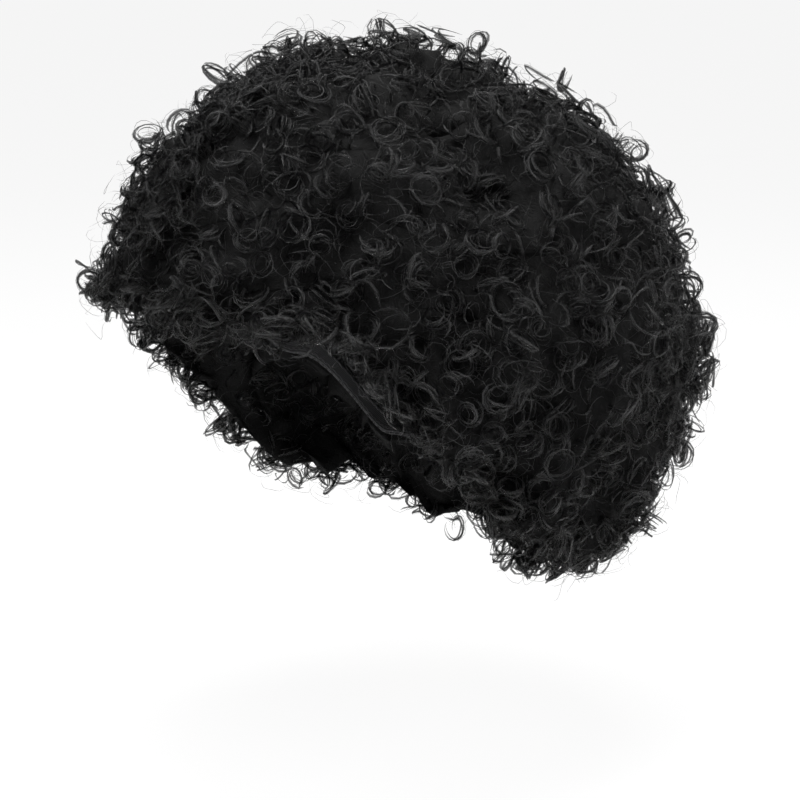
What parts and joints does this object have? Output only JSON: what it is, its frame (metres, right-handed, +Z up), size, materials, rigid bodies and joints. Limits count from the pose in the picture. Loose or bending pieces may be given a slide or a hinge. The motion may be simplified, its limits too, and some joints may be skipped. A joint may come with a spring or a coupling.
{
  "type": "curly afro wig",
  "caption": "Round black afro-style party wig: rings of tight corkscrew hair sewn to a stretch-net cap with an elastic edge, worn over the whole head.",
  "frame": {"origin": "Where the crown of the wearer's head meets the inside of the cap, which is what holds the wig up", "axes": "+Z up, the face looks along -Y, the wearer's left is +X; the head goes in from below, so the seat faces -Z"},
  "size_m": [0.3366, 0.3643, 0.3298],
  "materials": {
    "hair": "black synthetic curled fibre, soft sheen",
    "cap_net": "black stretch net, matt",
    "elastic": "black ribbed elastic, matt"
  },
  "bodies": {
    "root": {"cap": "cap_net", "edge_band": "elastic", "weft_01": "hair", "weft_02": "hair", "weft_03": "hair", "weft_04": "hair", "weft_05": "hair", "weft_06": "hair", "weft_07": "hair", "weft_08": "hair", "weft_09": "hair", "weft_10": "hair", "weft_11": "hair", "weft_12": "hair"}
  },
  "joints": []
}
